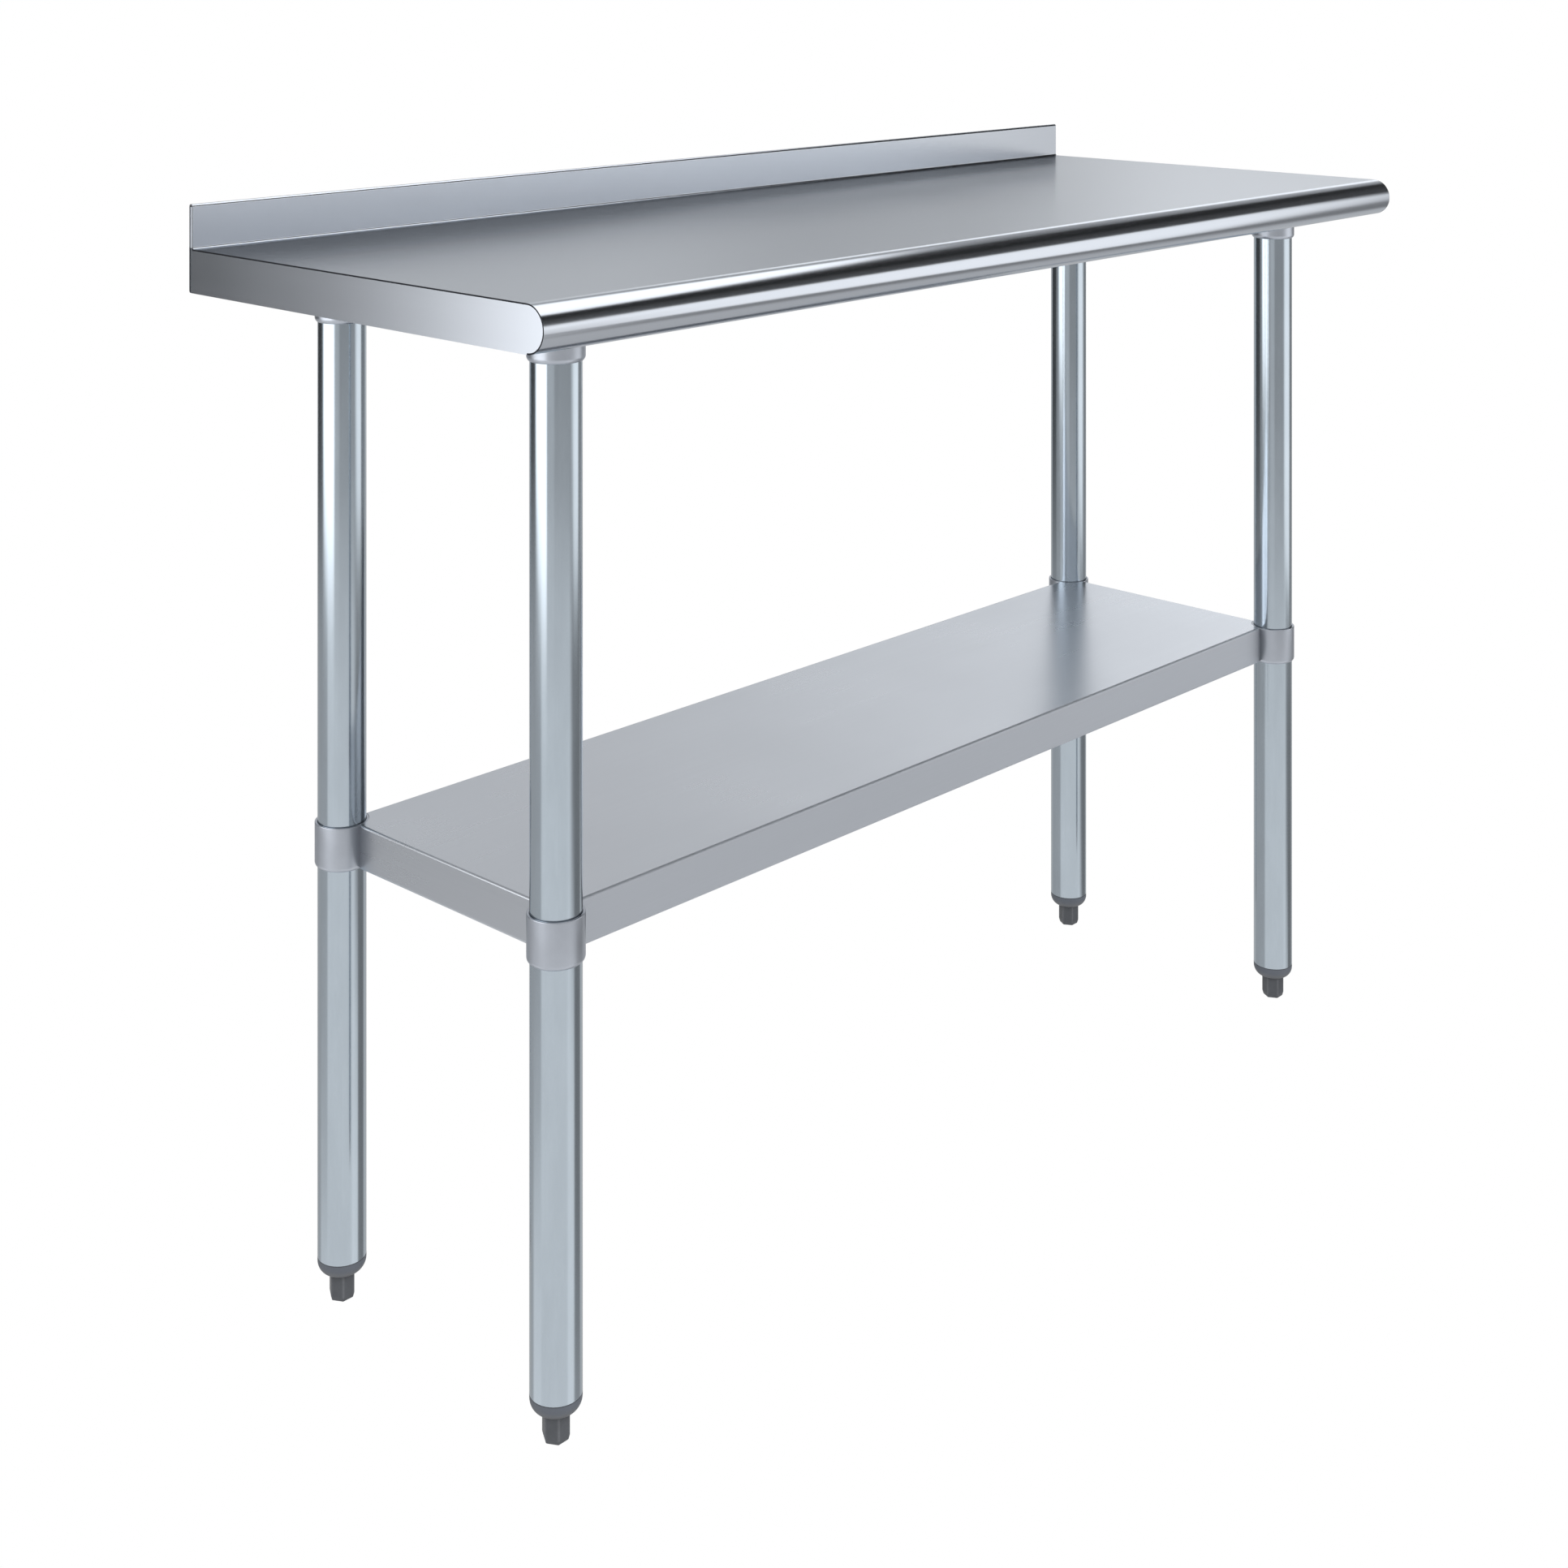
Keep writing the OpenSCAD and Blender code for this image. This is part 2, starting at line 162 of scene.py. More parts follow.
def panel(az0, az1, el0, el1, soft_az=4.0, soft_el=3.0, strength=1.0):
    """Weight of a soft-edged panel in the studio, by azimuth and elevation in degrees."""
    centre, half = (az0 + az1) / 2, (az1 - az0) / 2
    wa = g.remap(off_azimuth(centre), half - soft_az, half + soft_az, 1.0, 0.0)
    w0 = g.remap(elev, el0 - soft_el, el0 + soft_el)
    w1 = g.remap(elev, el1 - soft_el, el1 + soft_el, 1.0, 0.0)
    w = g.math("MULTIPLY", wa, g.math("MULTIPLY", w0, w1))
    return w if strength == 1.0 else g.math("MULTIPLY", w, strength)


def grey(v, tint=0.0):
    return (v * (1 - tint), v, v * (1 + tint))


# what the metal sees: (az from, az to, el from, el to, brightness, softness az, softness el)
PANELS = [
    # floor, dim all round, brighter in front of the table
    (-180, 180, -95, -14, 0.47, 1, 4),
    (-80, 10, -30, -14, 0.41, 6, 4),
    (-80, -25, -95, -28, 0.84, 8, 4),
    (10, 95, -32, -14, 0.52, 6, 4),
    (95, 148, -32, -14, 0.20, 6, 4),
    (156, 288, -32, -14, 0.72, 5, 3),
    (156, 288, -95, -30, 0.70, 5, 3),
    (135, 170, -95, -23, 0.84, 5, 3),
    # walls near the horizon
    (-40, 8, -14, 14, 0.05, 3, 3),
    (8, 54, -13, 12, 0.51, 5, 3),
    (53, 80, -13, 13, 0.66, 4, 3),
    (80, 118, -13, 8, 0.25, 5, 3),
    (118, 153, -13, -2, 0.68, 4, 3),
    (118, 153, -2, 8, 0.88, 4, 2),
    (137, 162, -4, 9, 1.20, 5, 2),
    (153, 232, -13, 14, 0.31, 4, 3),
    (229, 258, -13, 14, 0.51, 4, 3),
    (256, 322, -13, 14, 0.27, 4, 3),
    # upper walls and overhead panels
    (0, 48, 12, 40, 0.61, 6, 3),
    (46, 78, 13, 23, 1.44, 5, 3),
    (46, 80, 23, 36, 0.33, 5, 3),
    (45, 54, 8, 15, 0.22, 3, 2.5),
    (-60, 62, 42, 82, 0.44, 6, 4),
    (58, 92, 34, 58, 0.15, 5, 3),
    (86, 155, 8, 28, 0.06, 4, 3),
    (86, 155, 26, 62, 0.02, 4, 3),
    (141, 165, 8, 16, 0.36, 4, 3),
    (94, 150, 62, 88, 0.50, 4, 6),
    (153, 262, 14, 60, 0.60, 4, 3),
    (262, 362, 14, 60, 0.36, 4, 3),
]
glossy = grey(0.30)
glossy_colour = g.node("ShaderNodeRGB")
glossy_colour.outputs[0].default_value = (*glossy, 1)
col = glossy_colour.outputs[0]
for a0, a1, e0, e1, v, sa, se in PANELS:
    full = a1 - a0 >= 360
    if full:
        w0 = g.remap(elev, e0 - se, e0 + se)
        w1 = g.remap(elev, e1 - se, e1 + se, 1.0, 0.0)
        w = g.math("MULTIPLY", w0, w1)
    else:
        w = panel(a0, a1, e0, e1, sa, se)
    col = g.mix(w, col, (*grey(v), 1.0))
soft = g.mix(g.remap(elev, -60, 70), (0.62, 0.63, 0.65, 1), (1.0, 1.0, 1.0, 1))
path = g.node("ShaderNodeLightPath")
seen = g.mix(path.outputs["Is Glossy Ray"], soft, col)
seen = g.mix(path.outputs["Is Camera Ray"], seen, (1.0, 1.0, 1.0, 1.0))
background = g.node("ShaderNodeBackground")
g.link(seen, background.inputs["Color"])
background.inputs["Strength"].default_value = 1.0
g.link(background.outputs[0], g.node("ShaderNodeOutputWorld").inputs["Surface"])
world.cycles.sampling_method = "NONE"


def area(name, location, target, size, power, glossy=False):
    data = bpy.data.lights.new(name, "AREA")
    data.shape = "RECTANGLE"
    data.size, data.size_y = size
    data.energy = power
    obj = bpy.data.objects.new(name, data)
    scene.collection.objects.link(obj)
    obj.location = location
    obj.rotation_euler = (Vector(target) - Vector(location)).to_track_quat("-Z", "Y").to_euler()
    obj.visible_glossy = glossy
    obj.visible_camera = False
    return obj


area("key", (-2.2, -2.6, 2.6), (0, 0, 0.45), (1.6, 1.6), 60)
area("fill", (2.6, -2.0, 1.6), (0, 0, 0.45), (1.8, 1.8), 26)
area("top", (0.0, 0.2, 3.2), (0, 0, 0.4), (2.4, 1.6), 34)

def soft_box(name, corner, u, v, strength, soft):
    """A lit panel that only reflections see, from its corner along u and v, fading out
    over the given widths at the low-u, high-u, low-v and high-v edges."""
    mesh = bpy.data.meshes.new(name)
    a, u, v = Vector(corner), Vector(u), Vector(v)
    mesh.from_pydata([a, a + u, a + u + v, a + v], [], [(0, 1, 2, 3)])
    uv = mesh.uv_layers.new(name="UVMap")
    for loop, c in zip(uv.data, ((0, 0), (1, 0), (1, 1), (0, 1))):
        loop.uv = c
    obj = bpy.data.objects.new(name, mesh)
    scene.collection.objects.link(obj)
    m = bpy.data.materials.new(name)
    m.use_nodes = True
    gg = Graph(m.node_tree)
    sep = gg.node("ShaderNodeSeparateXYZ")
    gg.link(gg.node("ShaderNodeTexCoord").outputs["UV"], sep.inputs[0])
    x, y = sep.outputs["X"], sep.outputs["Y"]
    edges = ((x, u.length), (gg.math("SUBTRACT", 1.0, x), u.length), (y, v.length), (gg.math("SUBTRACT", 1.0, y), v.length))
    w = None
    for (value, size), edge in zip(edges, soft):
        k = gg.remap(value, 0.0, edge / size)
        w = k if w is None else gg.math("MULTIPLY", w, k)
    glow = gg.node("ShaderNodeEmission")
    glow.inputs["Strength"].default_value = strength
    both = gg.node("ShaderNodeMixShader")
    gg.link(w, both.inputs[0])
    gg.link(gg.node("ShaderNodeBsdfTransparent").outputs[0], both.inputs[1])
    gg.link(glow.outputs[0], both.inputs[2])
    gg.link(both.outputs[0], gg.node("ShaderNodeOutputMaterial").inputs["Surface"])
    m.cycles.emission_sampling = "NONE"
    mesh.materials.append(m)
    for flag in ("visible_camera", "visible_diffuse", "visible_shadow", "visible_transmission"):
        setattr(obj, flag, False)
    return obj


# left of the table, with a dimmer far part; right front; overhead right
soft_box("box_left", (-2.35, -0.55, 0), (0, 2.50, 0), (0, 0, 2.3), 1.85, (0.25, 0.32, 0.25, 0.75))
soft_box("box_left_far", (-2.36, 0.60, 0), (0, 2.05, 0), (0, 0, 2.3), 0.88, (0.25, 1.10, 0.25, 0.75))
soft_box("box_right", (0.724, -2.424, -0.05), (1.24, 1.56, 0), (0, 0, 1.36), 1.08, (0.85, 0.32, 0.12, 0.10))
soft_box("box_over", (1.42, -1.547, 2.88), (1.06, 2.59, 0), (-1.72, 0.707, 0), 1.45, (0.25, 0.30, 0.12, 0.30))

scene.view_settings.view_transform = "Standard"
scene.view_settings.look = "None"
scene.view_settings.exposure = 0.0
scene.view_settings.gamma = 1.0

# floor: pale, even and bright; seen from below it is clear
bpy.ops.mesh.primitive_grid_add(x_subdivisions=2, y_subdivisions=2, size=1)
floor = bpy.context.object
floor.name = "floor"
floor.scale = (60, 60, 1)
m = bpy.data.materials.new("floor_paper")
m.use_nodes = True
g = Graph(m.node_tree)
path = g.node("ShaderNodeLightPath")
geo = g.node("ShaderNodeNewGeometry")
lit = g.node("ShaderNodeEmission")
lit.inputs["Color"].default_value = (1, 1, 1, 1)
lit.inputs["Strength"].default_value = 1.0
bounce = g.node("ShaderNodeEmission")
bounce.inputs["Color"].default_value = (0.62, 0.63, 0.65, 1)
bounce.inputs["Strength"].default_value = 1.0
clear = g.node("ShaderNodeBsdfTransparent")
front = g.node("ShaderNodeMixShader")
g.link(path.outputs["Is Camera Ray"], front.inputs[0])
g.link(bounce.outputs[0], front.inputs[1])
g.link(lit.outputs[0], front.inputs[2])
both = g.node("ShaderNodeMixShader")
g.link(geo.outputs["Backfacing"], both.inputs[0])
g.link(front.outputs[0], both.inputs[1])
g.link(clear.outputs[0], both.inputs[2])
g.link(both.outputs[0], g.node("ShaderNodeOutputMaterial").inputs["Surface"])
floor.data.materials.append(m)
floor.visible_glossy = False
floor.visible_shadow = False
# the floor stays under the lowest foot when a foot is screwed out
lowest = floor.driver_add("location", 2).driver
lowest.type = "MIN"
for body in frame["bodies"]:
    v = lowest.variables.new()
    v.name = "z_" + body
    v.type = "TRANSFORMS"
    v.targets[0].id = frame["bodies"][body]
    v.targets[0].transform_type = "LOC_Z"
    v.targets[0].transform_space = "WORLD_SPACE"

# ---------------------------------------------------------------- camera

cam_data = bpy.data.cameras.new("camera")
cam = bpy.data.objects.new("camera", cam_data)
scene.collection.objects.link(cam)
scene.camera = cam
cam_data.sensor_fit = "HORIZONTAL"
cam_data.sensor_width = 36.0
cam_data.lens = 53.307
cam_data.clip_start, cam_data.clip_end = 0.05, 200.0
HOME = Vector((-1.69924, -1.48783, 1.14623))
cam.location = HOME
cam.rotation_euler = (math.radians(90), 0, math.radians(-46.775))
# the lens is shifted down at the photograph's viewpoint and nowhere else
home = bpy.data.objects.new("camera_home", None)
scene.collection.objects.link(home)
home.location = HOME
curve = cam_data.driver_add("shift_y")
curve.driver.type = "SUM"
v = curve.driver.variables.new()
v.name = "away"
v.type = "LOC_DIFF"
v.targets[0].id = cam
v.targets[1].id = home
for modifier in list(curve.modifiers):
    curve.modifiers.remove(modifier)
while len(curve.keyframe_points):
    curve.keyframe_points.remove(curve.keyframe_points[0])
for x, y in ((0.0, -0.53393), (0.02, -0.53393), (0.05, 0.0), (1000.0, 0.0)):
    k = curve.keyframe_points.insert(x, y)
    k.interpolation = "LINEAR"
curve.extrapolation = "CONSTANT"

# ---------------------------------------------------------------- materials


def material(name):
    m = bpy.data.materials.new(name)
    m.use_nodes = True
    return m, Graph(m.node_tree)


def finish_material(g, bsdf):
    g.link(bsdf.outputs[0], g.node("ShaderNodeOutputMaterial").inputs["Surface"])


def dimmed(g, base, seen=0.40, flat=0.0):
    """Metal seen in other metal is dimmer: rough reflections lose light between neighbouring sheets."""
    path = g.node("ShaderNodeLightPath")
    facing = g.node("ShaderNodeSeparateXYZ")
    g.link(g.node("ShaderNodeNewGeometry").outputs["True Normal"], facing.inputs[0])
    loss = g.math("SUBTRACT", 1.0 - seen, g.math("MULTIPLY", g.remap(facing.outputs["Z"], 0.5, 0.9), flat))
    return g.mix(g.math("MULTIPLY", path.outputs["Is Glossy Ray"], loss), base, (0.0, 0.0, 0.0))


def sheet_metal(name, colour, rough, grain=(3.0, 900.0, 900.0), aniso=0.4, tangent=(1, 0, 0), grain_bump=0.0012, cut_edges=False, roll_rough=None, bend=None, dressed=None):
    """Satin sheet: fine straight grain in colour, roughness and bump, faint broad unevenness."""
    m, g = material(name)
    pos = g.node("ShaderNodeTexCoord").outputs["Object"]
    fine = g.noise(g.stretch(pos, *grain), 1.0, 3.0, 0.6)
    coarse = g.noise(g.stretch(pos, grain[0] * 0.5, grain[1] * 0.22, grain[2] * 0.22), 1.0, 2.0, 0.5)
    if grain[0] < grain[1]:
        # the grain turns to run along Y on the faces that look along X
        facing = g.node("ShaderNodeSeparateXYZ")
        g.link(g.node("ShaderNodeNewGeometry").outputs["True Normal"], facing.inputs[0])
        end = g.remap(g.math("ABSOLUTE", facing.outputs["X"]), 0.6, 0.8)
        turned_fine = g.noise(g.stretch(pos, grain[1], grain[0], grain[2]), 1.0, 3.0, 0.6)
        turned_coarse = g.noise(g.stretch(pos, grain[1] * 0.22, grain[0] * 0.5, grain[2] * 0.22), 1.0, 2.0, 0.5)
        fine = g.math("ADD", fine, g.math("MULTIPLY", end, g.math("SUBTRACT", turned_fine, fine)))
        coarse = g.math("ADD", coarse, g.math("MULTIPLY", end, g.math("SUBTRACT", turned_coarse, coarse)))
    cloud = g.noise(pos, 5.0, 3.0, 0.5)
    base = g.mix(g.remap(fine, 0.25, 0.75), tuple(c * 0.99 for c in colour), tuple(min(1, c * 1.01) for c in colour))
    base = g.mix(g.remap(cloud, 0.35, 0.65, 0.0, 0.5), base, tuple(c * 0.98 for c in colour))
    r = g.math("ADD", rough - 0.01, g.math("MULTIPLY", coarse, 0.02))
    r = g.math("ADD", r, g.math("MULTIPLY", g.math("SUBTRACT", cloud, 0.5), 0.04))
    if roll_rough is not None:
        # the rolled front edge is polished smoother than the flat sheet
        front = g.node("ShaderNodeSeparateXYZ")
        g.link(pos, front.inputs[0])
        r = g.math("ADD", r, g.math("MULTIPLY", g.remap(front.outputs["Y"], -0.2085, -0.2125), roll_rough - rough))
    if dressed is not None:
        # welded to the backsplash above this height and dressed to a dull finish
        above = g.node("ShaderNodeSeparateXYZ")
        g.link(pos, above.inputs[0])
        r = g.math("ADD", r, g.math("MULTIPLY", g.remap(above.outputs["Z"], dressed, dressed + 0.001), 0.34))
    if bend is not None:
        # the tight bends along the front and back lose their polish in the press
        side = g.node("ShaderNodeSeparateXYZ")
        g.link(pos, side.inputs[0])
        r = g.math("ADD", r, g.math("MULTIPLY", g.remap(g.math("ABSOLUTE", side.outputs["Y"]), bend - 0.0004, bend), 0.30))
    if cut_edges:
        # bare cut ends of the folded sheet, duller, and painted dark as shade
        sep = g.node("ShaderNodeSeparateXYZ")
        g.link(pos, sep.inputs[0])
        end = g.remap(g.math("ABSOLUTE", sep.outputs["X"]), 0.60955, 0.60958, smooth=False)
        # the painted shade is lighter on the backsplash end than along the work surface
        painted_end_shade = g.mix(g.remap(sep.outputs["Z"], 0.8905, 0.8925), (0.032, 0.034, 0.04), (0.30, 0.31, 0.33))
        base = g.mix(end, base, painted_end_shade)
        r = g.math("ADD", r, g.math("MULTIPLY", end, 0.25))
    p = g.node("ShaderNodeBsdfPrincipled")
    p.inputs["Metallic"].default_value = 1.0
    g.link(dimmed(g, base, 0.35, 0.60), p.inputs["Base Color"])
    g.link(r, p.inputs["Roughness"])
    p.inputs["Specular Tint"].default_value = (0.96, 0.98, 1.0, 1.0)
    p.inputs["Anisotropic"].default_value = aniso
    t = g.node("ShaderNodeCombineXYZ")
    for i in range(3):
        t.inputs[i].default_value = tangent[i]
    g.link(t.outputs[0], p.inputs["Tangent"])
    height = g.math("ADD", g.math("MULTIPLY", fine, 0.6), g.math("MULTIPLY", coarse, 0.4))
    g.link(g.bump(height, grain_bump, 0.0004), p.inputs["Normal"])
    finish_material(g, p)
    return m


STEEL = (0.72, 0.762, 0.83)
top_mat = sheet_metal("stainless_top", STEEL, 0.22, aniso=0.0, cut_edges=True, roll_rough=0.18)
shelf_mat = sheet_metal("stainless_shelf", (0.722, 0.757, 0.815), 0.28, aniso=0.0, bend=0.1330)
panel_mat = sheet_metal("stainless_end", STEEL, 0.20, grain=(900.0, 3.0, 900.0), aniso=0.3, tangent=(0, 1, 0), dressed=0.8905)
channel_mat = sheet_metal("galvanised_sheet", (0.60, 0.64, 0.69), 0.34, aniso=0.2, grain_bump=0.03)


def tube_metal(name, colour):
    """Smooth galvanised tube: faint drawn streaks down its length and a broad mottle."""
    m, g = material(name)
    pos = g.node("ShaderNodeTexCoord").outputs["Object"]
    streak = g.noise(g.stretch(pos, 520.0, 520.0, 2.0), 1.0, 3.0, 0.55)
    mottle = g.noise(g.stretch(pos, 60.0, 60.0, 14.0), 1.0, 4.0, 0.6)
    base = g.mix(g.remap(mottle, 0.3, 0.7), tuple(c * 0.96 for c in colour), tuple(min(1, c * 1.03) for c in colour))
    base = g.mix(g.remap(streak, 0.3, 0.7, 0.0, 0.35), base, tuple(c * 0.97 for c in colour))
    p = g.node("ShaderNodeBsdfPrincipled")
    p.inputs["Metallic"].default_value = 1.0
    g.link(dimmed(g, base, 0.72), p.inputs["Base Color"])
    g.link(g.math("ADD", 0.15, g.math("MULTIPLY", mottle, 0.035)), p.inputs["Roughness"])
    height = g.math("ADD", g.math("MULTIPLY", streak, 0.5), g.math("MULTIPLY", mottle, 0.5))
    g.link(g.bump(height, 0.006, 0.0005), p.inputs["Normal"])
    finish_material(g, p)
    return m


tube_mat = tube_metal("galvanised_tube", (0.62, 0.70, 0.775))


def cast_metal(name, colour, rough, scale=1400.0, bump=0.12):
    """Satin cast or plated metal with a fine grainy skin."""
    m, g = material(name)
    pos = g.node("ShaderNodeTexCoord").outputs["Object"]
    skin = g.noise(pos, scale, 3.0, 0.6)
    cloud = g.noise(pos, 45.0, 3.0, 0.5)
    base = g.mix(g.remap(cloud, 0.3, 0.7), tuple(c * 0.96 for c in colour), tuple(min(1, c * 1.03) for c in colour))
    p = g.node("ShaderNodeBsdfPrincipled")
    p.inputs["Metallic"].default_value = 1.0
    g.link(dimmed(g, base), p.inputs["Base Color"])
    g.link(g.math("ADD", rough - 0.04, g.math("MULTIPLY", cloud, 0.08)), p.inputs["Roughness"])
    g.link(g.bump(skin, bump, 0.0003), p.inputs["Normal"])
    finish_material(g, p)
    return m


socket_mat = cast_metal("satin_alloy", (0.61, 0.65, 0.72), 0.36)
zinc_mat = cast_metal("zinc_plate", (0.72, 0.73, 0.74), 0.28, bump=0.06)
weld_mat = cast_metal("weld_bead", (0.52, 0.53, 0.56), 0.42, scale=900.0, bump=0.3)
screw_mat = cast_metal("black_oxide", (0.16, 0.16, 0.17), 0.38, bump=0.06)


def plastic(name, colour, rough=0.42, corner_highlight=None, top=None):
    """Moulded nylon: low gloss with a fine eggshell skin."""
    m, g = material(name)
    pos = g.node("ShaderNodeTexCoord").outputs["Object"]
    skin = g.noise(pos, 1800.0, 2.0, 0.5)
    cloud = g.noise(pos, 120.0, 3.0, 0.6)
    base = g.mix(g.remap(cloud, 0.3, 0.7), tuple(c * 0.93 for c in colour), tuple(min(1, c * 1.06) for c in colour))
    if top is not None:
        # bluer towards the tube, with a darker line where the two meet
        up = g.node("ShaderNodeSeparateXYZ")
        g.link(pos, up.inputs[0])
        base = g.mix(g.remap(up.outputs["Z"], 0.0235, 0.0325), base, top)
        base = g.mix(g.remap(up.outputs["Z"], 0.0348, 0.0358), base, tuple(c * 0.45 for c in top))
    if corner_highlight is not None:
        # corners painted lighter, a painted highlight along their rounding
        highlight_weight = g.node("ShaderNodeAttribute")
        highlight_weight.attribute_name = "corner_highlight"
        base = g.mix(g.math("MULTIPLY", highlight_weight.outputs["Fac"], g.remap(cloud, 0.25, 0.75, 0.7, 1.0)), base, corner_highlight)
    p = g.node("ShaderNodeBsdfPrincipled")
    g.link(base, p.inputs["Base Color"])
    g.link(g.math("ADD", rough - 0.05, g.math("MULTIPLY", skin, 0.1)), p.inputs["Roughness"])
    p.inputs["Specular IOR Level"].default_value = 0.45
    g.link(g.bump(skin, 0.15, 0.0002), p.inputs["Normal"])
    finish_material(g, p)
    return m


insert_mat = plastic("nylon_grey", (0.150, 0.154, 0.162), top=(0.112, 0.124, 0.146))
# the second colour is a painted highlight on the hex corners
foot_mat = plastic("nylon_dark", (0.078, 0.083, 0.092), 0.34, corner_highlight=(0.175, 0.180, 0.192))


def set_material(obj, mat):
    obj.data.materials.clear()
    obj.data.materials.append(mat)


for name, obj in nodes.items():
    if name in ("left_end_panel", "right_end_panel"):
        set_material(obj, panel_mat)
    elif name == "tabletop":
        set_material(obj, top_mat)
    elif name == "undershelf":
        set_material(obj, shelf_mat)
    elif name.endswith("_channel") or name == "shelf_stiffener":
        set_material(obj, channel_mat)
    elif name.endswith("_leg"):
        set_material(obj, tube_mat)
    elif name.endswith("_leg_socket") or name.endswith("_sleeve"):
        set_material(obj, socket_mat)
    elif name in ("channel_weld_studs", "channel_nuts") or name.endswith("_foot_stud"):
        set_material(obj, zinc_mat)
    elif name.endswith("_set_screws"):
        set_material(obj, screw_mat)
    elif name.endswith("_foot_insert"):
        set_material(obj, insert_mat)
    elif name.endswith("_hex_foot"):
        set_material(obj, foot_mat)

# ---------------------------------------------------------------- pieces

LEG_X, LEG_Y = 0.5185, 0.1375
CORNERS = {
    "front_left": (-LEG_X, -LEG_Y),
    "front_right": (LEG_X, -LEG_Y),
    "back_left": (-LEG_X, LEG_Y),
    "back_right": (LEG_X, LEG_Y),
}


def inward(x, y):
    return math.atan2(-math.copysign(1, y), -math.copysign(1, x))


def to_mesh(bm, name, angle=32.0):
    """Closes a bmesh into a mesh: outward normals, smooth faces, sharp edges past the angle."""
    bmesh.ops.recalc_face_normals(bm, faces=bm.faces[:])
    for f in bm.faces:
        f.smooth = True
    for e in bm.edges:
        e.smooth = len(e.link_faces) == 2 and e.calc_face_angle(0.0) < math.radians(angle)
    mesh = bpy.data.meshes.new(name)
    bm.to_mesh(mesh)
    bm.free()
    return mesh


def piece(name, mesh, body, mat, slot, *replaced):
    obj = bpy.data.objects.new(name, mesh)
    scene.collection.objects.link(obj)
    mesh.materials.clear()
    mesh.materials.append(mat)
    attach(obj, body)
    if replaced:
        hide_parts(*replaced)
    return obj


def turned(bm, profile, n=96, matrix=None):
    """Turns a closed (r, z) outline round the Z axis."""
    rows = []
    for r, z in profile:
        row = []
        for i in range(n):
            a = 2 * math.pi * i / n
            co = Vector((r * math.cos(a), r * math.sin(a), z))
            row.append(bm.verts.new(matrix @ co if matrix else co))
        rows.append(row)
    for k in range(len(rows)):
        a, b = rows[k], rows[(k + 1) % len(rows)]
        for i in range(n):
            j = (i + 1) % n
            bm.faces.new((a[i], a[j], b[j], b[i]))


def stacked(bm, levels, n, matrix=None, cap_low=True, cap_high=True):
    """Joins a stack of rings, each a function of angle giving (r, z), and closes its ends."""
    rows = []
    for level in levels:
        row = []
        for i in range(n):
            a = 2 * math.pi * i / n
            r, z = level(a)
            co = Vector((r * math.cos(a), r * math.sin(a), z))
            row.append(bm.verts.new(matrix @ co if matrix else co))
        rows.append(row)
    for a, b in zip(rows, rows[1:]):
        for i in range(n):
            j = (i + 1) % n
            bm.faces.new((a[i], a[j], b[j], b[i]))
    if cap_low:
        bm.faces.new(rows[0][::-1])
    if cap_high:
        bm.faces.new(rows[-1])
    return rows


def hexagon(a, corner, p=60.0):
    """Radius of a hexagon at an angle, its corners on the X axis and slightly rounded."""
    apothem = corner * math.cos(math.pi / 6)
    total = 0.0
    for k in range(6):
        c = math.cos(a - math.pi / 6 - k * math.pi / 3)
        if c > 0:
            total += c ** p
    return apothem * total ** (-1.0 / p)


def thread(bm, r, pitch, z0, z1, n=48, recess=None, matrix=None):
    """A right-handed screw thread along Z with chamfered ends, closed at both ends.
    recess is (corner radius, depth) of a hexagonal hole in the high end."""
    depth = 0.6134 * pitch
    outline = ((0.0, 0.0), (0.125, 0.0), (0.4375, 1.0), (0.6875, 1.0))
    start = z0 - 2 * pitch
    count = (int((z1 - z0) / pitch) + 6) * 4
    end_r = r - depth - 0.02 * MM
    grid = []
    for i in range(n):
        a = 2 * math.pi * i / n
        column = []
        for m in range(count):
            f, d = outline[m % 4]
            z = start + (m // 4 + f + i / n) * pitch
            z = min(max(z, z0), z1)
            rr = min(r - depth * d, end_r + min(z - z0, z1 - z))
            co = Vector((rr * math.cos(a), rr * math.sin(a), z))
            column.append(bm.verts.new(matrix @ co if matrix else co))
        grid.append(column)
    for i in range(n):
        a = grid[i]
        b, shift = (grid[i + 1], 0) if i + 1 < n else (grid[0], 4)
        for m in range(count - 1):
            if m + 1 + shift < count:
                bm.faces.new((a[m], b[m + shift], b[m + 1 + shift], a[m + 1]))
    low = [grid[i][0] for i in range(n)]
    high = [grid[i][-1] for i in range(n)]
    bm.faces.new(low[::-1])
    if recess is None:
        bm.faces.new(high)
    else:
        corner, deep = recess
        rings = [high]
        for z in (z1, z1 - deep):
            row = []
            for i in range(n):
                a = 2 * math.pi * i / n
                rr = hexagon(a, corner, 200.0)
                co = Vector((rr * math.cos(a), rr * math.sin(a), z))
                row.append(bm.verts.new(matrix @ co if matrix else co))
            rings.append(row)
        for a, b in zip(rings, rings[1:]):
            for i in range(n):
                j = (i + 1) % n
                bm.faces.new((a[i], a[j], b[j], b[i]))
        bm.faces.new(rings[-1])


def tidy(bm):
    bmesh.ops.remove_doubles(bm, verts=bm.verts[:], dist=1e-6)
    bmesh.ops.dissolve_degenerate(bm, dist=1e-7, edges=bm.edges[:])
    loose = [v for v in bm.verts if not v.link_faces]
    bmesh.ops.delete(bm, geom=loose, context="VERTS")


